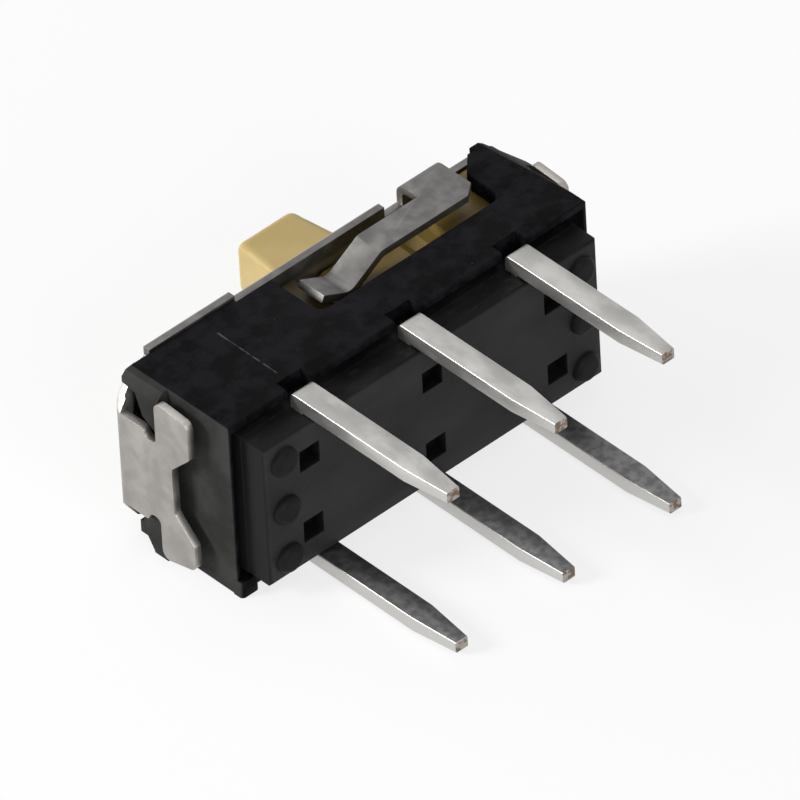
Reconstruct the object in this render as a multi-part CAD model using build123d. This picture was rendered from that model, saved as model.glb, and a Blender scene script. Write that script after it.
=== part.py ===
from build123d import *
import os

# A two-pole slide switch for a circuit board, lying on one long side.
# Millimetres. +X runs along the slider's travel, +Y towards the knob, +Z up across the two
# rows of pins. The origin is the centre of the long side that the switch lies on.

# --- case -------------------------------------------------------------------------------
case_length = 8.34
case_height = 3.76
case_depth = 2.44
side_wall = 0.34
end_wall = 0.25
mouth_chamfer = 0.19
case_edge = 0.04
window_left = -1.00
window_right = 3.25
window_reach = 1.10
window_corner = 0.22
notch_depth = 0.28
notch_clearance = 0.04
front_relief = 0.10
front_relief_x = -1.80
window_flare = 0.45
foot_reach = 0.12
foot_length = 0.40
foot_height = 0.34
corner_cut_depth = 0.12

# --- snap lugs on the case ends ------------------------------------------------------------
lug_reach = 0.21
lug_back = 0.92
lug_gap = 0.03
lug_tongue_width = 0.14
lug_tongue_drop = 0.09
lug_waist_width = 0.44
lug_waist_drop = 0.09
lug_nose_width = 0.60
lug_nose_height = 0.31
lug_ramp = 0.34
lug_ramp_length = 0.72
lug_edge = 0.14
lug_heel_width = 0.34
lug_heel_height = 0.42
facet_width = 0.24
left_drop = 0.05
right_drop = 0.32

# --- cover (folded sheet) -------------------------------------------------------------------
sheet = 0.15
left_tab_reach = 0.34
right_tab_reach = 0.22
bend_inside = 0.05
cover_inset = 0.06
cover_rise = 0.04
plate_half_length = 3.73
band_half_height = 1.02
ear_front = 0.94
ear_back = 1.78
ear_inset = 0.07
ear_corner = 0.16
lower_ear_lift = 0.10
lower_ear_rise = 0.20
waist_back = 1.31
waist_half_height = 0.50
waist_blend_height = 0.98
neck_start_height = 1.76
neck_corner_width = 0.29
neck_corner_height = 1.47
neck_end_width = 0.07
neck_end_height = 1.14
tab_notch_width = 0.32
tab_notch_depth = 0.17
tab_notch_round = 0.12
edge_step = 0.15
edge_step_x = -1.75

# --- detent arm (part of the cover) -----------------------------------------------------------
arm_root_left = 2.15
arm_root_right = 3.04
arm_rise = 0.11
arm_fold_inside = 0.08
arm_near = 1.44
arm_width = 0.60
arm_knee_x = 0.76
arm_dip_x = 0.00
arm_dip = 0.47
arm_tip_x = -0.63
arm_tip_rise = 0.30
arm_corner = 0.28
relief_width = 0.42
relief_depth = 0.33

# --- slider -----------------------------------------------------------------------------------
travel = 1.80
slider_clearance = 0.04
slider_back = 0.36
slider_stop_gap = 0.06
knob_length = 2.11
knob_tip_width = 1.32
knob_root_width = 1.83
knob_tip_height = 1.10
knob_root_height = 1.20
knob_edge = 0.18
knob_clearance = 0.08
channel_depth = 0.24
channel_near = 1.38
channel_margin = 0.45
seat_depth = 0.12
seat_half_width = 0.22

# --- terminals ----------------------------------------------------------------------------------
pitch = 2.50
blade_inset = 0.05
blade_width = 0.48
blade_thickness = 0.30
blade_length = 3.83
tip_length = 1.00
tip_width = 0.27
tip_thickness = 0.22
blade_edge = 0.04
bend_outside = 0.12
pad_height = 0.76
pad_offset = 0.79
middle_pad_width = 1.50
outer_pad_inner = 1.45
outer_pad_outer = 3.40

# --- moving contacts ------------------------------------------------------------------------------
clip_thickness = 0.12
clip_width = 0.60
clip_gap = 0.06
clip_roof = 1.25
clip_half_flat = 0.55
clip_point = 1.30
clip_half_pad = 0.15
clip_half_length = 1.72
clip_toe = 0.43
pocket_half_length = 1.85
pocket_half_height = 0.44

# --- base -----------------------------------------------------------------------------------------
base_reach = 0.557
base_side_gap = 0.28
base_wall_gap = 0.02
spigot_height = 0.33
spigot_wall = 0.22
hole_size = 0.46
hole_pitch = 2.85
pip_radius = 0.29
pip_height = 0.16
pip_x = 3.46
pip_pitch = 1.08
base_edge = 0.05

# --- places worked out from the sizes above ---------------------------------------------------------
rim = -case_depth / 2
front = case_depth / 2
middle = case_height / 2
end = case_length / 2
cavity_half_length = end - end_wall
cavity_low = side_wall
cavity_high = case_height - side_wall
left_tab_outer = end + left_tab_reach
right_tab_outer = end + right_tab_reach
plate_outer = front + sheet
slider_rest = travel / 2
slider_half_length = cavity_half_length - travel / 2 - slider_stop_gap
row_half = middle - blade_inset - blade_thickness / 2
base_half_length = end - base_side_gap
base_half_height = row_half - blade_thickness / 2 - base_wall_gap
arm_top = case_height + arm_rise
arm_low = arm_top - sheet
slider_top = cavity_high - slider_clearance
far = 10.0


def slab(x0, x1, y0, y1, z0, z1):
    """A box between two corners."""
    place = Pos((x0 + x1) / 2, (y0 + y1) / 2, (z0 + z1) / 2)
    return place * Box(x1 - x0, y1 - y0, z1 - z0)


def outline_xz(points, y0, y1):
    """A flat outline in X and Z, made solid from y0 to y1."""
    face = make_face(Plane.XZ.offset(-y1) * Polyline(*points, close=True))
    return extrude(face, amount=y1 - y0, dir=(0, -1, 0))


def outline_yz(points, x0, x1):
    """A flat outline in Y and Z, made solid from x0 to x1."""
    face = make_face(Plane.YZ.offset(x0) * Polyline(*points, close=True))
    return extrude(face, amount=x1 - x0, dir=(1, 0, 0))


def outline_xy(points, z0, z1):
    """A flat outline in X and Y, made solid from z0 to z1."""
    face = make_face(Plane.XY.offset(z0) * Polyline(*points, close=True))
    return extrude(face, amount=z1 - z0, dir=(0, 0, 1))


def side_line(points, shift):
    """The line beside a bent strip's centre line, at a distance to its left."""
    line = [Vector(*p) for p in points]
    runs = [(b - a).normalized() for a, b in zip(line, line[1:])]
    normals = [Vector(-r.Y, r.X) for r in runs]
    result = [line[0] + normals[0] * shift]
    for corner, first, second in zip(line[1:], normals, normals[1:]):
        mitre = (first + second).normalized()
        result.append(corner + mitre * (shift / mitre.dot(first)))
    result.append(line[-1] + normals[-1] * shift)
    return result


def bent_strip(points, thickness, left_radii, right_radii):
    """The edge-on face of a bent strip, from its centre line and the radii on both sides."""
    left = side_line(points, thickness / 2)
    right = side_line(points, -thickness / 2)
    path_left = FilletPolyline(*left, radius=left_radii)
    path_right = FilletPolyline(*right, radius=right_radii)
    start = Line(left[0], right[0])
    finish = Line(left[-1], right[-1])
    return make_face([path_left, finish, path_right, start])


def mirrored_ends(shape):
    return shape + mirror(shape, about=Plane.YZ)


def mirrored_rows(shape):
    return shape + mirror(shape, about=Plane.XY.offset(middle))


# --- case -------------------------------------------------------------------------------------------
def snap_lug(ramp):
    """The upper lug of the left end, which the cover's tab catches behind."""
    low = middle + band_half_height + lug_gap
    back = front - lug_back
    outer = end + lug_reach
    nose = case_height - lug_nose_height
    side = [
        (back, low - lug_tongue_drop),
        (back + lug_tongue_width, low - lug_tongue_drop),
        (back + lug_waist_width, low + lug_waist_drop),
        (back + lug_nose_width, nose),
        (front, nose + 0.05),
        (front, case_height),
        (back, case_height),
    ]
    plan = [
        (-end + 0.1, back),
        (-outer, back),
        (-outer, front - lug_ramp_length),
        (-outer + ramp, front),
        (-end + 0.1 + ramp, front),
    ]
    return outline_yz(side, -outer, -end + 0.1 + ramp) & outline_xy(plan, 0, case_height)


def edged_lug():
    """The plain lug with its outer edge cut off along the top."""
    lug = snap_lug(0)
    edge = lug.edges().filter_by(Axis.Y).group_by(Axis.Z)[-1].sort_by(Axis.X)[0]
    return chamfer(edge, lug_edge)


def heel_cut():
    """What is cut off the front of a lower lug, so the cover slides on from the front."""
    heel = front - lug_back + lug_heel_width
    points = [
        (heel, -1),
        (heel, 0.03),
        (heel + 0.18, lug_heel_height - 0.10),
        (heel + 0.18, lug_heel_height),
        (front + 1, lug_heel_height),
        (front + 1, -1),
    ]
    return outline_yz(points, -far, -end)


def corner_cut():
    """What is cut off the front corner of the left end, above the cover's folded edge."""
    half = [
        (front + 1, case_height - middle - 0.08),
        (front, case_height - middle - 0.12),
        (front - 0.12, neck_corner_height + 0.04),
        (front - 0.18, neck_corner_height - 0.11),
        (front - 0.28, band_half_height + 0.08),
        (front - 0.28, band_half_height - 0.20),
        (front + 1, band_half_height - 0.20),
    ]
    upper = outline_yz([(y, middle + z) for y, z in half], -far, -end + corner_cut_depth)
    lower = outline_yz([(y, middle - z) for y, z in half], -far, -end + corner_cut_depth)
    return upper, lower


def end_facet(drop):
    """What is cut off the top of the left end: a shallow slope that widens to the front."""
    inner_front = Vector(-end + facet_width, front, case_height)
    inner_back = Vector(-end, rim, case_height)
    outer_front = Vector(-end - lug_reach, front, case_height - drop)
    normal = (inner_back - inner_front).cross(outer_front - inner_front)
    if normal.Z < 0:
        normal = -normal
    plane = Plane(origin=inner_front, x_dir=inner_back - inner_front, z_dir=normal)
    return plane * Pos(0, 0, 1) * Box(4 * far, 4 * far, 2)


def terminal_notches():
    """Slots in the rim where the terminals pass the long walls."""
    half = blade_width / 2 + notch_clearance
    notches = []
    for place in (-pitch, 0, pitch):
        notches.append(slab(place - half, place + half, rim - 1, rim + notch_depth, -1, case_height + 1))
    return notches


def detent_window():
    """The opening in the upper long wall over the slider's detent seats."""
    near = rim + window_reach
    window = slab(window_left, window_right, near, front + 1, cavity_high - 0.1, case_height + 1)
    corners = window.edges().filter_by(Axis.Z).group_by(Axis.Y)[0]
    flare = [
        (window_right - 0.1, front - window_flare),
        (window_right, front - window_flare),
        (window_right + window_flare, front + 0.01),
        (window_right - 0.1, front + 0.01),
    ]
    return fillet(corners, window_corner) + outline_xy(flare, cavity_high - 0.1, case_height + 1)


def case():
    body = slab(-end, end, rim, front, 0, case_height)
    edges = body.edges().filter_by(Axis.X)
    edges += body.edges().filter_by(Axis.Y)
    body = fillet(edges, case_edge)
    relief = slab(front_relief_x, far, front - front_relief, front + 1, cavity_high, far)
    upper_left = edged_lug()
    lower = mirror(snap_lug(0), about=Plane.XY.offset(middle)) - heel_cut()
    for cut in corner_cut():
        body = body - cut - mirror(cut, about=Plane.YZ)
    body = body - relief + upper_left + mirrored_ends(lower)
    body = body + mirror(snap_lug(lug_ramp), about=Plane.YZ)
    cavity = slab(-cavity_half_length, cavity_half_length, rim - 1, front + 1, cavity_low, cavity_high)
    body = body - cavity
    mouth = body.edges().group_by(Axis.Y)[0]
    inner = [
        e for e in mouth
        if abs(e.center().X) < cavity_half_length + 0.01 and cavity_low - 0.01 < e.center().Z < cavity_high + 0.01
    ]
    body = chamfer(inner, mouth_chamfer)
    body = body - end_facet(left_drop) - mirror(end_facet(right_drop), about=Plane.YZ)
    foot = slab(-end, -end + foot_length, rim - foot_reach, rim + 0.1, 0, foot_height)
    foot = foot - slab(-cavity_half_length, -1, rim - 1, rim + 1, cavity_low, far)
    foot = fillet(foot.edges().filter_by(Axis.Z).group_by(Axis.Y)[0], 0.08)
    body = body + mirrored_ends(foot)
    return body - detent_window() - terminal_notches()


# --- cover ------------------------------------------------------------------------------------------
def tab_half(lift, rise):
    """Half of the end tab seen square on, in Y and Z from its middle, with each corner's radius."""
    ear_top = middle - ear_inset - lift
    ear_y0 = front - ear_back
    ear_y1 = front - ear_front
    notch = band_half_height - tab_notch_depth
    return [
        (plate_outer + 1, band_half_height, 0),
        (ear_y1 + tab_notch_width, band_half_height, 0.06),
        (ear_y1 + tab_notch_width - 0.08, notch, tab_notch_round),
        (ear_y1, notch, tab_notch_round),
        (ear_y1, ear_top, ear_corner),
        (ear_y0, ear_top - rise, ear_corner),
        (ear_y0, waist_blend_height, 0.08),
        (front - waist_back, waist_half_height, 0.15),
    ]


def tab_prism():
    """The end tab's outline with its corners rounded, as a long bar to cut the folded ends with."""
    upper = [(y, middle + z, r) for y, z, r in tab_half(0, 0.06)]
    lower = [(y, middle - z, r) for y, z, r in reversed(tab_half(lower_ear_lift, lower_ear_rise))]
    bar = outline_yz([(y, z) for y, z, _ in upper + lower], -far, far)
    for y, z, radius in upper + lower:
        if radius:
            corner = bar.edges().filter_by(Axis.X).sort_by_distance((0, y, z))[0]
            bar = fillet(corner, radius)
    return bar


def cover_channel():
    """The front plate folded down over both ends, before its outline is cut."""
    left = sheet / 2 - left_tab_outer
    right = right_tab_outer - sheet / 2
    y = plate_outer - sheet / 2
    line = [(left, rim), (left, y), (right, y), (right, rim)]
    outside = bend_inside + sheet
    face = bent_strip(line, sheet, [outside, outside], [bend_inside, bend_inside])
    return extrude(Plane.XY.offset(cover_inset) * face, amount=case_height + cover_rise - cover_inset)


def neck_cut(outer):
    """What is cut off an upper corner of the plate, so that it narrows to the end tab's band."""
    neck = [
        (plate_half_length, far),
        (plate_half_length, middle + neck_start_height),
        (outer - neck_corner_width, middle + neck_corner_height),
        (outer - neck_end_width, middle + neck_end_height),
        (outer, middle + band_half_height),
        (far, middle + band_half_height),
        (far, far),
    ]
    return mirrored_rows(outline_xz(neck, plate_outer - sheet - bend_inside - 0.01, far))


def cover_plate():
    channel = cover_channel()
    side_start = plate_outer - sheet - bend_inside
    ends = slab(-far, far, rim - 1, side_start, -1, case_height + 1)
    ends = ends - tab_prism()
    plate = channel - ends - neck_cut(right_tab_outer) - mirror(neck_cut(left_tab_outer), about=Plane.YZ)
    step = slab(edge_step_x, far, front - 1, far, case_height + cover_rise - edge_step, far)
    shoulder = slab(arm_root_right, far, front - 1, far, case_height - relief_depth, far)
    return plate - step - shoulder


def knob_slot():
    half = knob_root_width / 2 + travel / 2 + knob_clearance
    height = knob_root_height / 2 + knob_clearance
    slot = slab(-half, half, front - 0.1, plate_outer + 0.1, middle - height, middle + height)
    return fillet(slot.edges().filter_by(Axis.Y), 0.12)


def detent_arm():
    """The spring arm: folded back over the window, then along it, with a dip near its end."""
    near = rim + arm_near
    far_side = near + arm_width
    fold = [
        (plate_outer - sheet / 2, case_height - relief_depth - 0.1),
        (plate_outer - sheet / 2, arm_top - sheet / 2),
        (near, arm_top - sheet / 2),
    ]
    profile = bent_strip(fold, sheet, [arm_fold_inside], [arm_fold_inside + sheet])
    root = extrude(Plane.YZ.offset(arm_root_left) * profile, amount=arm_root_right - arm_root_left)
    corner = [
        (arm_root_right + 0.01, near - 0.01),
        (arm_root_right + 0.01, near + arm_corner * 0.8),
        (arm_root_right - arm_corner, near - 0.01),
    ]
    root = root - outline_xy(corner, arm_low - 0.1, arm_top + 0.1)
    run = [
        (arm_root_left + 0.3, arm_top - sheet / 2),
        (arm_knee_x, arm_top - sheet / 2),
        (arm_dip_x, arm_top - arm_dip - sheet / 2),
        (arm_tip_x, arm_top - arm_dip + arm_tip_rise - sheet / 2),
    ]
    face = bent_strip(run, sheet, [0.30, 0.10], [0.15, 0.25])
    strip = extrude(Plane.XZ.offset(-far_side) * face, amount=arm_width)
    return root + strip


def relief_cut():
    """The slot that frees the arm's root from the plate's edge."""
    top = case_height - relief_depth
    return slab(arm_root_left - relief_width, arm_root_left, front - 0.1, far, top, far)


def cover():
    return cover_plate() - knob_slot() - relief_cut() + detent_arm()


# --- slider -----------------------------------------------------------------------------------------
def knob():
    root = front - slider_clearance
    tip = plate_outer + knob_length
    root_face = Plane(origin=(0, root, middle), x_dir=(1, 0, 0), z_dir=(0, 1, 0))
    tip_face = Plane(origin=(0, tip, middle), x_dir=(1, 0, 0), z_dir=(0, 1, 0))
    shape = loft([
        root_face * Rectangle(knob_root_width, knob_root_height),
        tip_face * Rectangle(knob_tip_width, knob_tip_height),
    ])
    edges = shape.edges().group_by(Axis.Y)[1:]
    return fillet([e for group in edges for e in group], knob_edge)


def detent_channel():
    """The channel that the arm's dip runs in, with a seat at each end of the travel."""
    floor = slider_top - channel_depth
    half = travel / 2 + channel_margin
    shape = slab(-half, half, rim + channel_near, front + 1, floor, far)
    for place in (-travel / 2, travel / 2):
        seat = [
            (place - seat_half_width, floor + 0.01),
            (place, floor - seat_depth),
            (place + seat_half_width, floor + 0.01),
        ]
        shape = shape + outline_xz(seat, rim + channel_near, front + 1)
    return shape


def slider():
    back = rim + slider_back
    face = front - slider_clearance
    low = cavity_low + slider_clearance
    body = slab(-slider_half_length, slider_half_length, back, face, low, slider_top)
    body = fillet(body.edges().filter_by(Axis.Z), 0.08)
    body = body - detent_channel()
    half = pocket_half_length
    for centre in (middle - pad_offset, middle + pad_offset):
        low_side = centre - pocket_half_height
        high_side = centre + pocket_half_height
        body = body - slab(-half, half, back - 1, rim + clip_roof, low_side, high_side)
    return Pos(slider_rest, 0, 0) * (body + knob())


# --- moving contacts ----------------------------------------------------------------------------------
def moving_contact(row):
    """A bridge with two arms that end in contact points over the terminal pads."""
    top = rim + clip_roof - clip_thickness / 2
    low = rim + clip_gap + clip_thickness / 2
    half = [
        (clip_half_flat, top),
        (clip_point - clip_half_pad, low),
        (clip_point + clip_half_pad, low),
        (clip_half_length, low + clip_toe),
    ]
    line = [(-x, y) for x, y in reversed(half)] + half
    small = 0.05
    large = small + clip_thickness
    left = [small, small, large, large, small, small]
    right = [large, large, small, small, large, large]
    face = bent_strip(line, clip_thickness, left, right)
    z = middle + row * pad_offset - clip_width / 2
    return Pos(slider_rest, 0, 0) * extrude(Plane.XY.offset(z) * face, amount=clip_width)


# --- terminals ------------------------------------------------------------------------------------------
def contact_pad(column):
    """The flat pad inside the switch, for the upper row."""
    low = middle + pad_offset - pad_height / 2
    high = middle + pad_offset + pad_height / 2
    if column == 0:
        return slab(-middle_pad_width / 2, middle_pad_width / 2, rim - blade_thickness, rim, low, high)
    pad = slab(outer_pad_inner, outer_pad_outer, rim - blade_thickness, rim, low, high)
    return pad if column > 0 else mirror(pad, about=Plane.YZ)


def blade(column):
    """The stem and the pin, bent from one strip, for the upper row."""
    x = column * pitch
    row = middle + row_half
    tip_start = rim - blade_length + tip_length
    line = [
        (rim - blade_thickness / 2, middle + pad_offset),
        (rim - blade_thickness / 2, row),
        (tip_start, row),
    ]
    face = bent_strip(line, blade_thickness, [0.02], [bend_outside])
    strip = extrude(Plane.YZ.offset(x - blade_width / 2) * face, amount=blade_width)
    start = Plane(origin=(x, tip_start, row), x_dir=(1, 0, 0), z_dir=(0, -1, 0))
    finish = Plane(origin=(x, rim - blade_length, row), x_dir=(1, 0, 0), z_dir=(0, -1, 0))
    tip = loft([
        start * Rectangle(blade_width, blade_thickness),
        finish * Rectangle(tip_width, tip_thickness),
    ])
    return strip + tip


def terminal(column, row):
    shape = contact_pad(column) + blade(column)
    if row < 0:
        shape = mirror(shape, about=Plane.XY.offset(middle))
    return shape


# --- base -----------------------------------------------------------------------------------------------
def base():
    half = base_half_height
    inner = cavity_half_length - base_wall_gap
    low = cavity_low + base_wall_gap
    high = cavity_high - base_wall_gap
    face = rim - base_reach
    plate = slab(-base_half_length, base_half_length, face, rim, middle - half, middle + half)
    plate = chamfer(plate.edges().group_by(Axis.Y)[0], base_edge)
    spigot = slab(-inner, inner, rim, rim + spigot_height, low, high)
    hollow = slab(
        -inner + spigot_wall, inner - spigot_wall, rim, rim + spigot_height + 1,
        low + spigot_wall, high - spigot_wall,
    )
    body = plate + (spigot - hollow)
    for column in (-1, 0, 1):
        for row in (-1, 1):
            body = body - terminal(column, row)
            x = column * hole_pitch
            z = middle + row * pad_offset
            size = hole_size / 2
            body = body - slab(x - size, x + size, face - 1, rim - blade_thickness, z - size, z + size)
    for x in (-pip_x, pip_x):
        for step in (-1, 0, 1):
            seat = Plane(origin=(x, face, middle + step * pip_pitch), z_dir=(0, -1, 0))
            pip = seat * Pos(0, 0, pip_height / 2) * Cylinder(pip_radius, pip_height)
            body = body + fillet(pip.edges().sort_by(Axis.Y)[0], pip_height * 0.8)
    return body


os.makedirs("parts", exist_ok=True)
export_step(case(), "parts/case.step")
export_step(cover(), "parts/cover.step")
export_step(slider(), "parts/slider.step")
export_step(moving_contact(1), "parts/moving_contact_upper.step")
export_step(moving_contact(-1), "parts/moving_contact_lower.step")
export_step(base(), "parts/base.step")
for row_name, row in (("upper", 1), ("lower", -1)):
    for column_name, column in (("left", -1), ("middle", 0), ("right", 1)):
        export_step(terminal(column, row), f"parts/terminal_{row_name}_{column_name}.step")
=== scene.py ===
import math
import bmesh
import bpy
from mathutils import Matrix, Vector


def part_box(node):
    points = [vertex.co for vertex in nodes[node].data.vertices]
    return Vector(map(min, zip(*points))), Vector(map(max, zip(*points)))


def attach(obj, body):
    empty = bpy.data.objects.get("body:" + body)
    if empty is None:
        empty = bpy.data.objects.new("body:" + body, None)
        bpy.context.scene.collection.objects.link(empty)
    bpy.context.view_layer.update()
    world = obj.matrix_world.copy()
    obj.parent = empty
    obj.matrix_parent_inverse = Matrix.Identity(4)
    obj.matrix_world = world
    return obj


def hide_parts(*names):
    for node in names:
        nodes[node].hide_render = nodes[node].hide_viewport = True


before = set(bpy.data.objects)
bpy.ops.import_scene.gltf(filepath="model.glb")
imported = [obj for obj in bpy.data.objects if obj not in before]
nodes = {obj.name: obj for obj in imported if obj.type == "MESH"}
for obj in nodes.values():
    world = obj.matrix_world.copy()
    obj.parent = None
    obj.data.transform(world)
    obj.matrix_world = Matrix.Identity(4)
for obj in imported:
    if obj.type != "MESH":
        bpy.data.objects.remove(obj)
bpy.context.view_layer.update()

# ---------------------------------------------------------------------------------------------
# Case: one black moulding of glass-filled nylon, open at the back and the front, with slightly
# round edges and a dull, mottled skin. A fine line shows where two parts of the mould met, the
# two ends are painted a lighter grey as painted light, as where the lamps fall on them, and
# handling leaves a little dust.

MM = 0.001
case_low, case_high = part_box("case")
lug_reach = 0.21 * MM
case_end = case_high.x - lug_reach
case_edge = 0.02 * MM
skin_depth = 0.04 * MM
nylon_dark = (0.0020, 0.0018, 0.0022)
nylon_light = (0.0085, 0.0078, 0.0100)
# Painted light: a lighter grey for the two ends, as where the lamps fall on them.
lit_end_dark = (0.022, 0.022, 0.021)
lit_end_light = (0.042, 0.042, 0.041)
dust_grey = (0.12, 0.12, 0.13)
dust_strength = 0.35
line_grey = (0.16, 0.17, 0.19)
line_strength = 0.4
line_x = case_low.x + 1.80 * MM
line_half_length = 0.74 * MM
line_fade = 0.04 * MM
line_half_width = 0.019 * MM
line_blur = 0.009 * MM
line_wander = 0.04 * MM
flat_angle = math.radians(1.0)
sharp_angle = math.radians(20.0)
weld_distance = 0.0005 * MM


def softened(node, radius, rounds=2):
    """A copy of a CAD piece with its loose triangles merged and its flat areas made single
    faces, so that a bevel of the given radius can round every sharp edge."""
    piece = nodes[node].copy()
    piece.data = nodes[node].data.copy()
    piece.name = "soft_" + node
    bpy.context.scene.collection.objects.link(piece)
    piece.parent = None
    mesh = bmesh.new()
    mesh.from_mesh(piece.data)
    bmesh.ops.remove_doubles(mesh, verts=mesh.verts, dist=weld_distance)
    bmesh.ops.dissolve_limit(mesh, angle_limit=flat_angle, verts=mesh.verts, edges=mesh.edges)
    for face in mesh.faces:
        face.smooth = True
    mesh.to_mesh(piece.data)
    mesh.free()
    for key in [k for k in piece.keys() if k.startswith("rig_")]:
        del piece[key]
    bevel = piece.modifiers.new("edges", "BEVEL")
    bevel.width = radius
    bevel.segments = rounds
    bevel.limit_method = "ANGLE"
    bevel.angle_limit = sharp_angle
    bevel.harden_normals = True
    bevel.use_clamp_overlap = True
    return piece


def finish_piece(piece, material, node, body):
    """Puts a material on a finished piece and hands it to the frame in place of its CAD node."""
    piece.data.materials.clear()
    piece.data.materials.append(material)
    nodes[node].data.materials.clear()
    nodes[node].data.materials.append(material)
    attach(piece, body)
    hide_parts(node)


class Finish:
    """A node material for one finish. The calls that work out a pattern return its socket."""

    def __init__(self, name):
        self.material = bpy.data.materials.new(name)
        self.material.use_nodes = True
        self.tree = self.material.node_tree
        self.shader = self.tree.nodes["Principled BSDF"]
        self.place = self.tree.nodes.new("ShaderNodeTexCoord").outputs["Object"]

    def wire(self, source, socket):
        """Links a socket, or sets a plain value."""
        if isinstance(source, bpy.types.NodeSocket):
            self.tree.links.new(source, socket)
        else:
            socket.default_value = source

    def noise(self, size, detail=3.0, stretch=(1, 1, 1), roughness=0.5):
        """Noise whose lumps are about `size` across, stretched along the axes."""
        mapping = self.tree.nodes.new("ShaderNodeMapping")
        mapping.inputs["Scale"].default_value = [1 / s for s in stretch]
        self.wire(self.place, mapping.inputs["Vector"])
        noise = self.tree.nodes.new("ShaderNodeTexNoise")
        noise.inputs["Scale"].default_value = 1 / size
        noise.inputs["Detail"].default_value = detail
        noise.inputs["Roughness"].default_value = roughness
        self.wire(mapping.outputs["Vector"], noise.inputs["Vector"])
        return noise.outputs["Fac"]

    def axis(self, name):
        """The place of a point along one axis."""
        split = self.tree.nodes.new("ShaderNodeSeparateXYZ")
        self.wire(self.place, split.inputs[0])
        return split.outputs[name]

    def math(self, what, a, b=0.0):
        """One step of arithmetic."""
        node = self.tree.nodes.new("ShaderNodeMath")
        node.operation = what
        self.wire(a, node.inputs[0])
        self.wire(b, node.inputs[1])
        return node.outputs[0]

    def away(self, name, middle=0.0):
        """How far a point is, along one axis, from the middle given, to either side."""
        return self.math("ABSOLUTE", self.math("SUBTRACT", self.axis(name), middle))

    def span(self, value, low, high, to_low=0.0, to_high=1.0, curve="SMOOTHSTEP"):
        """The value carried from one range to another, without overshoot."""
        node = self.tree.nodes.new("ShaderNodeMapRange")
        node.interpolation_type = curve
        for socket, number in zip(node.inputs[1:5], (low, high, to_low, to_high)):
            socket.default_value = number
        self.wire(value, node.inputs[0])
        return node.outputs[0]

    def above(self, value, place, fade):
        """A mask that goes from 0 to 1 across a place, faded to either side of it."""
        return self.span(value, place - fade, place + fade)

    def below(self, value, place, fade):
        """A mask that goes from 1 to 0 across a place, faded to either side of it."""
        return self.span(value, place - fade, place + fade, to_low=1.0, to_high=0.0)

    def where_all(self, *masks):
        """One mask that is 1 only where all of the given masks are."""
        joined = masks[0]
        for mask in masks[1:]:
            joined = self.math("MULTIPLY", joined, mask)
        return joined

    def mix(self, share, first, second):
        """A blend of two colours."""
        node = self.tree.nodes.new("ShaderNodeMix")
        node.data_type = "RGBA"
        self.wire(share, node.inputs["Factor"])
        for colour, socket in ((first, node.inputs[6]), (second, node.inputs[7])):
            self.wire((*colour, 1) if isinstance(colour, tuple) else colour, socket)
        return node.outputs[2]

    def bump(self, height, depth):
        """A relief of the given depth in the surface."""
        node = self.tree.nodes.new("ShaderNodeBump")
        node.inputs["Distance"].default_value = depth
        self.wire(height, node.inputs["Height"])
        self.wire(node.outputs["Normal"], self.shader.inputs["Normal"])

    def surface(self, **values):
        """Sets the shader's sockets by name."""
        for name, value in values.items():
            self.wire(value, self.shader.inputs[name.replace("_", " ")])


black = Finish("black_nylon")
off_centre = black.math("SUBTRACT", black.noise(0.5 * MM), 0.5)
off_line = black.math("ADD", black.away("X", line_x), black.math("MULTIPLY", off_centre, line_wander))
on_line = black.where_all(
    black.below(off_line, line_half_width, line_blur),
    black.below(black.away("Y"), line_half_length, line_fade),
    black.above(black.axis("Z"), case_high.z - skin_depth, skin_depth / 2),
    black.span(black.noise(0.18 * MM), 0.35, 0.6),
)
dust = black.span(black.noise(0.09 * MM, detail=1.0), 0.78, 0.84)
mottle = black.noise(0.40 * MM, detail=6.0, roughness=0.65)
# Painted light: the ends are mixed in a lighter grey than the rest of the skin.
lit_end = black.mix(black.span(black.noise(0.8 * MM, detail=4.0), 0.3, 0.7), lit_end_dark, lit_end_light)
skin = black.mix(black.span(mottle, 0.40, 0.62), nylon_dark, nylon_light)
on_ends = black.above(black.away("X"), case_end - skin_depth / 2, skin_depth / 2)
skin = black.mix(on_ends, skin, lit_end)
skin = black.mix(black.math("MULTIPLY", on_line, line_strength), skin, line_grey)
skin = black.mix(black.math("MULTIPLY", dust, dust_strength), skin, dust_grey)
gloss = black.span(mottle, 0.3, 0.7, to_low=0.50, to_high=0.62)
black.surface(Base_Color=skin, Roughness=gloss, Specular_IOR_Level=0.035)
black.bump(black.noise(0.035 * MM), depth=0.006 * MM)
finish_piece(softened("case", case_edge), black.material, "case", "housing")

# ---------------------------------------------------------------------------------------------
# Base: a second black moulding, pressed into the back of the case with the terminals moulded
# in. It is a little smoother than the case, with flow marks and scuffs. Its face and its ends
# are painted greyer than its sides and the case, as painted light where the lamps fall on them,
# and the low round pips on its face are left darker.

base_low, base_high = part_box("base")
base_edge = 0.02 * MM
pip_height = 0.16 * MM
pip_foot = 0.0355 * MM
pip_fade = 0.0275 * MM
face_y = base_low.y + pip_height
face_depth = 0.022 * MM
# Painted light: lighter greys for the face and the ends than for the sides, as where the lamps fall.
lit_face_dark = (0.019, 0.019, 0.019)
lit_face_light = (0.027, 0.027, 0.027)
side_dark = (0.0045, 0.0045, 0.0045)
side_light = (0.0110, 0.0110, 0.0108)
lit_end_grey = (0.014, 0.014, 0.014)
pip_black = (0.009, 0.009, 0.009)
scuff_grey = (0.04, 0.04, 0.038)
scuff_strength = 0.20

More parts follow.
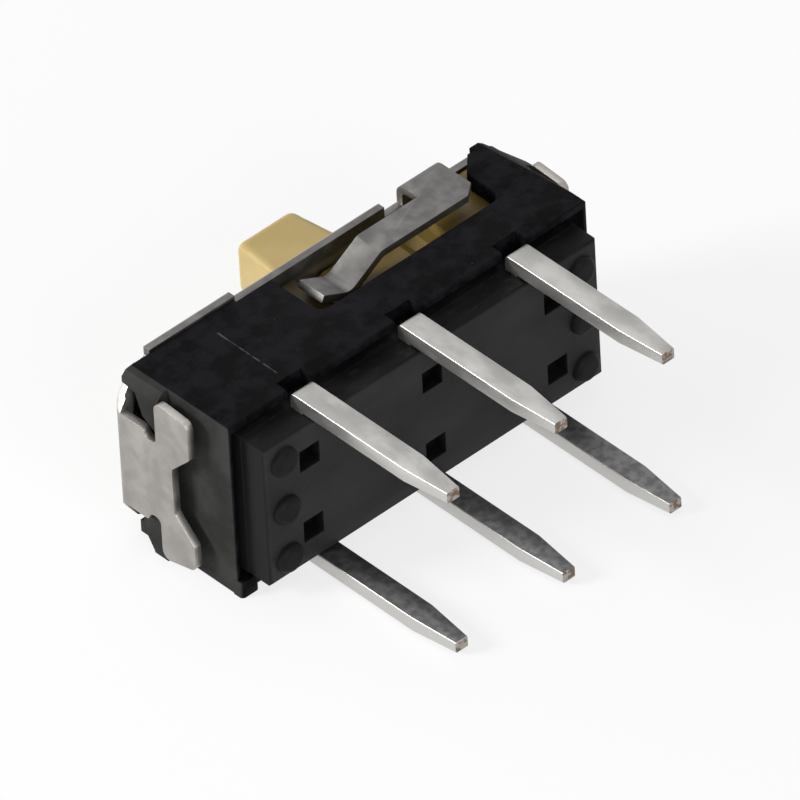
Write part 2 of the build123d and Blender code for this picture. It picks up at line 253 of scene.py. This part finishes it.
grey = Finish("grey_black_nylon")
flow = grey.noise(0.9 * MM, detail=5.0, stretch=(1.6, 1, 1))
scuff = grey.span(grey.noise(0.12 * MM, detail=4.0, stretch=(2.5, 1, 1)), 0.56, 0.70)
# Painted light: the face, and below it the ends, are made lighter than the sides.
face = grey.mix(grey.span(flow, 0.3, 0.7), lit_face_dark, lit_face_light)
sides = grey.mix(grey.span(flow, 0.35, 0.65), side_dark, side_light)
sides = grey.mix(grey.math("MULTIPLY", scuff, scuff_strength), sides, scuff_grey)
on_ends = grey.above(grey.away("X"), base_high.x - skin_depth, skin_depth / 2)
sides = grey.mix(on_ends, sides, lit_end_grey)
on_face = grey.below(grey.axis("Y"), face_y + face_depth, skin_depth / 2)
on_pip = grey.below(grey.axis("Y"), face_y - pip_foot, pip_fade)
skin = grey.mix(on_face, sides, face)
skin = grey.mix(on_pip, skin, pip_black)
gloss = grey.span(flow, 0.3, 0.7, to_low=0.48, to_high=0.60)
grey.surface(Base_Color=skin, Roughness=gloss, Specular_IOR_Level=0.07)
grey.bump(grey.noise(0.04 * MM), depth=0.005 * MM)
finish_piece(softened("base", base_edge), grey.material, "base", "housing")

# ---------------------------------------------------------------------------------------------
# Terminals: six pins blanked from brass strip and tin plated. Blanking leaves round edges, drawn
# lines run along the shank, and the cut tip shows the brass. The sides are painted a brighter tin
# as a painted reflection, the tops of the lower row are painted a dim, mottled grey as a painted
# reflection, and the pads inside are darker.

pin_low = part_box("terminal_lower_middle")[0]
pin_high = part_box("terminal_upper_middle")[1]
middle_z = (pin_low.z + pin_high.z) / 2
tip_y = pin_low.y
tip_length = 1.00 * MM
pitch = 2.50 * MM
pin_edge = 0.05 * MM
flat_half_width = 0.222 * MM
flat_half_tip = 0.118 * MM
side_fade = 0.005 * MM
row_split = middle_z - 0.18 * MM
row_fade = 0.10 * MM
cut_depth = 0.025 * MM
cut_fade = 0.010 * MM
pad_reach = 1.22 * MM
pad_fade = 0.03 * MM
tin_dark = (0.33, 0.325, 0.31)
tin_light = (0.45, 0.445, 0.43)
# Painted reflection: a dim, mottled grey for the lower row's tops and a brighter tin for the sides.
dim_reflection_dark = (0.115, 0.115, 0.115)
dim_reflection_light = (0.185, 0.185, 0.185)
side_reflection = (0.58, 0.57, 0.55)
cut_dark = (0.16, 0.12, 0.09)
cut_light = (0.38, 0.34, 0.31)
pad_dark = (0.030, 0.026, 0.020)

pin = Finish("tin_plate")
drawn = pin.noise(0.06 * MM, stretch=(1, 10, 1))
cloud = pin.noise(0.4 * MM, detail=4.0, stretch=(1, 2, 1))
flat = pin.mix(pin.span(cloud, 0.35, 0.65), tin_dark, tin_light)
# Painted reflection: the tops of the lower row are painted a dim, mottled grey.
dim_reflection = pin.span(pin.noise(0.16 * MM, detail=4.0), 0.35, 0.65)
dim_reflection = pin.mix(dim_reflection, dim_reflection_dark, dim_reflection_light)
in_lower_row = pin.below(pin.axis("Z"), row_split, row_fade)
flat = pin.mix(in_lower_row, flat, dim_reflection)
# Painted reflection: the sides of each pin are painted a brighter tin than its tops.
half_width = pin.span(pin.axis("Y"), tip_y, tip_y + tip_length, flat_half_tip, flat_half_width, "LINEAR")
from_pin_middle = pin.math("PINGPONG", pin.axis("X"), pitch / 2)
on_side = pin.above(pin.math("SUBTRACT", from_pin_middle, half_width), side_fade, side_fade)
plate = pin.mix(on_side, flat, side_reflection)
brass = pin.mix(pin.span(pin.noise(0.10 * MM), 0.4, 0.6), cut_dark, cut_light)
on_tip = pin.below(pin.axis("Y"), tip_y + cut_depth, cut_fade)
plate = pin.mix(on_tip, plate, brass)
# The pads inside are given a dark colour.
on_pad = pin.below(pin.away("Z", middle_z), pad_reach, pad_fade)
plate = pin.mix(on_pad, plate, pad_dark)
gloss = pin.span(cloud, 0.3, 0.7, to_low=0.40, to_high=0.50)
pin.surface(Base_Color=plate, Metallic=1.0, Roughness=gloss)
pin.bump(drawn, depth=0.0015 * MM)
for row in ("upper", "lower"):
    for column in ("left", "middle", "right"):
        name = f"terminal_{row}_{column}"
        finish_piece(softened(name, pin_edge, rounds=3), pin.material, name, "housing")

# ---------------------------------------------------------------------------------------------
# Cover: one stamping of thin tinned steel, its ends folded round the case and its upper edge
# cut into the spring arm that clicks the slider into place. The plate is dull and warm, and
# the arm and the back of the upper edge are painted darker, as painted shade and a painted dim
# reflection.

cover_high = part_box("cover")[1]
cover_edge = 0.02 * MM
tab_bend_x = case_end - 0.12 * MM
tab_bend_fade = 0.10 * MM
arm_foot_z = cover_high.z - 0.545 * MM
arm_foot_fade = 0.075 * MM
plate_back_y = cover_high.y - 0.0165 * MM
plate_back_fade = 0.0085 * MM
steel_dark = (0.32, 0.302, 0.280)
steel_light = (0.40, 0.382, 0.358)
# Painted shade and painted dim reflection: darker greys for the arm and the back of the upper edge.
arm_shade_dark = (0.125, 0.120, 0.116)
arm_shade_light = (0.185, 0.180, 0.172)

steel = Finish("tinned_steel")
rolled = steel.noise(0.05 * MM, detail=4.0, stretch=(6, 1, 1))
stain = steel.noise(0.5 * MM, detail=4.0)
tin = steel.mix(steel.span(stain, 0.35, 0.68), steel_dark, steel_light)
# Painted shade: the arm and the back of the upper edge are painted darker than the plate.
arm_shade = steel.mix(steel.span(steel.noise(0.30 * MM, detail=4.0), 0.3, 0.7), arm_shade_dark, arm_shade_light)
on_arm = steel.where_all(
    steel.below(steel.away("X"), tab_bend_x, tab_bend_fade),
    steel.above(steel.axis("Z"), arm_foot_z, arm_foot_fade),
    steel.below(steel.axis("Y"), plate_back_y, plate_back_fade),
)
tin = steel.mix(on_arm, tin, arm_shade)
gloss = steel.span(stain, 0.3, 0.7, to_low=0.36, to_high=0.50)
steel.surface(Base_Color=tin, Metallic=1.0, Roughness=gloss)
steel.bump(rolled, depth=0.003 * MM)
finish_piece(softened("cover", cover_edge), steel.material, "cover", "housing")

# ---------------------------------------------------------------------------------------------
# Slider: one cream acetal moulding, knob and body together. Acetal is waxy: light goes a little
# way into it, and the knob has a satin skin. The track under the arm is painted brown as painted
# shade, and darker still beyond the seat that the arm rests in.

slider_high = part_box("slider")[1]
slider_edge = 0.03 * MM
knob_reach = 2.30 * MM
body_front = slider_high.y - knob_reach
front_fade = 0.015 * MM
track_z = slider_high.z - 0.48 * MM
track_fade = 0.10 * MM
seat_x = 0.05 * MM
wax_dark = (0.45, 0.335, 0.122)
wax_light = (0.51, 0.385, 0.158)
# Painted shade: a brown for the track under the arm and a darker brown beyond the seat.
track_shade_brown = (0.22, 0.15, 0.038)
track_shade_dark = (0.060, 0.042, 0.014)
light_depth = (0.3 * MM, 0.2 * MM, 0.08 * MM)

cream = Finish("cream_acetal")
wax = cream.mix(cream.span(cream.noise(1.2 * MM), 0.3, 0.7), wax_dark, wax_light)
# Painted shade: the track under the arm is painted brown, and darker beyond the seat.
track_shade = cream.where_all(
    cream.below(cream.axis("Y"), body_front + front_fade, front_fade),
    cream.above(cream.axis("Z"), track_z, track_fade),
)
wax = cream.mix(track_shade, wax, track_shade_brown)
beyond_seat = cream.below(cream.axis("X"), seat_x, track_fade)
wax = cream.mix(cream.where_all(track_shade, beyond_seat), wax, track_shade_dark)
cream.surface(Base_Color=wax, Roughness=0.42, Specular_IOR_Level=0.4, Subsurface_Weight=0.15)
cream.surface(Subsurface_Radius=light_depth, Subsurface_Scale=1.0)
cream.bump(cream.noise(0.05 * MM, detail=2.0), depth=0.003 * MM)
finish_piece(softened("slider", slider_edge), cream.material, "slider", "slide")

# ---------------------------------------------------------------------------------------------
# Moving contacts: two springy bridges bent from bronze strip, one in each of the slider's
# pockets. Rolling and rubbing leave fine streaks along them.

contact_edge = 0.02 * MM
bronze_dark = (0.66, 0.50, 0.32)
bronze_light = (0.74, 0.60, 0.42)

bronze = Finish("bronze_strip")
streaks = bronze.noise(0.06 * MM, stretch=(8, 1, 1))
strip = bronze.mix(bronze.span(streaks, 0.3, 0.7), bronze_dark, bronze_light)
bronze.surface(Base_Color=strip, Metallic=1.0, Roughness=0.3)
bronze.bump(streaks, depth=0.002 * MM)
for row in ("upper", "lower"):
    name = f"moving_contact_{row}"
    finish_piece(softened(name, contact_edge), bronze.material, name, "slide")

# ---------------------------------------------------------------------------------------------
# Studio: a white table under a soft light tent. The floor and the world look plain white to the
# camera and in the metal, and the lamps give the object a plain level of light.

floor_half = 0.6
floor_gap = 0.002 * MM
paper_white = (0.92, 0.92, 0.92, 1)
sky_white = (1, 1, 1, 1)
floor_seen_white = 0.75
sky_seen_white = 1.0
tent_light = 0.30
lamp_aim = Vector((0, 0, 2 * MM))


def seen_as_white(tree, lit, strength, output):
    """Mixes plain white into a surface or a sky, where it is looked at or shows in metal."""
    path = tree.nodes.new("ShaderNodeLightPath")
    seen = path.outputs["Is Camera Ray"]
    for ray in ("Is Glossy Ray", "Is Transmission Ray"):
        either = tree.nodes.new("ShaderNodeMath")
        either.operation = "MAXIMUM"
        tree.links.new(seen, either.inputs[0])
        tree.links.new(path.outputs[ray], either.inputs[1])
        seen = either.outputs[0]
    share = tree.nodes.new("ShaderNodeMath")
    share.operation = "MULTIPLY"
    share.inputs[1].default_value = strength
    tree.links.new(seen, share.inputs[0])
    white = tree.nodes.new("ShaderNodeEmission")
    white.inputs["Strength"].default_value = 1.0
    choose = tree.nodes.new("ShaderNodeMixShader")
    tree.links.new(share.outputs[0], choose.inputs[0])
    tree.links.new(lit.outputs[0], choose.inputs[1])
    tree.links.new(white.outputs[0], choose.inputs[2])
    tree.links.new(choose.outputs[0], output.inputs["Surface"])


floor_mesh = bpy.data.meshes.new("floor")
floor_corners = [(x * floor_half, y * floor_half, 0) for x, y in ((-1, -1), (1, -1), (1, 1), (-1, 1))]
floor_mesh.from_pydata(floor_corners, [], [(0, 1, 2, 3)])
floor = bpy.data.objects.new("floor", floor_mesh)
bpy.context.scene.collection.objects.link(floor)
floor.location.z = -floor_gap
paper = bpy.data.materials.new("white_paper")
paper.use_nodes = True
matt = paper.node_tree.nodes["Principled BSDF"]
matt.inputs["Base Color"].default_value = paper_white
matt.inputs["Roughness"].default_value = 0.9
matt.inputs["Specular IOR Level"].default_value = 0.1
seen_as_white(paper.node_tree, matt, floor_seen_white, paper.node_tree.nodes["Material Output"])
floor.data.materials.append(paper)

world = bpy.data.worlds.new("tent")
bpy.context.scene.world = world
world.use_nodes = True
sky = world.node_tree.nodes["Background"]
sky.inputs["Color"].default_value = sky_white
sky.inputs["Strength"].default_value = tent_light
seen_as_white(world.node_tree, sky, sky_seen_white, world.node_tree.nodes["World Output"])


def soft_lamp(name, place, size, power):
    """A square lamp that faces the switch."""
    data = bpy.data.lights.new(name, "AREA")
    data.size = size
    data.energy = power
    lamp = bpy.data.objects.new(name, data)
    bpy.context.scene.collection.objects.link(lamp)
    lamp.location = place
    lamp.rotation_euler = (lamp_aim - Vector(place)).to_track_quat("-Z", "Y").to_euler()


soft_lamp("key", place=(-0.13, 0.07, 0.08), size=0.055, power=0.22)
soft_lamp("fill", place=(-0.04, -0.15, 0.07), size=0.09, power=0.14)
soft_lamp("top", place=(0.05, 0.05, 0.18), size=0.10, power=0.035)
soft_lamp("back", place=(-0.05, 0.15, 0.03), size=0.09, power=0.10)

# ---------------------------------------------------------------------------------------------
# Camera: a long lens 0.43 m away, above the pins and to their left, leaning a little. It aims
# above the middle of the edge where the back of the case meets the table.

azimuth = math.radians(-40.80)
elevation = math.radians(40.757)
lean = math.radians(-3.335)
distance = 0.42762
focal_length = 1124.2
sensor_width = 36
aim_left = 0.288 * MM
aim_up = 1.3872 * MM
case_back = -case_high.y

to_lens = Vector((
    math.sin(azimuth) * math.cos(elevation),
    -math.cos(azimuth) * math.cos(elevation),
    math.sin(elevation),
))
level = Vector((0, 0, 1)).cross(to_lens).normalized()
upright = to_lens.cross(level)
right = level * math.cos(lean) + upright * math.sin(lean)
up = upright * math.cos(lean) - level * math.sin(lean)
lens_place = Vector((0, case_back, 0)) - right * aim_left + up * aim_up + to_lens * distance
camera_data = bpy.data.cameras.new("camera")
camera_data.sensor_width = sensor_width
camera_data.lens = focal_length
camera_data.clip_start = 0.01
camera_data.clip_end = 10
camera = bpy.data.objects.new("camera", camera_data)
bpy.context.scene.collection.objects.link(camera)
camera.matrix_world = Matrix((
    (right.x, up.x, to_lens.x, lens_place.x),
    (right.y, up.y, to_lens.y, lens_place.y),
    (right.z, up.z, to_lens.z, lens_place.z),
    (0, 0, 0, 1),
))
bpy.context.scene.camera = camera
bpy.context.scene.view_settings.view_transform = "Standard"
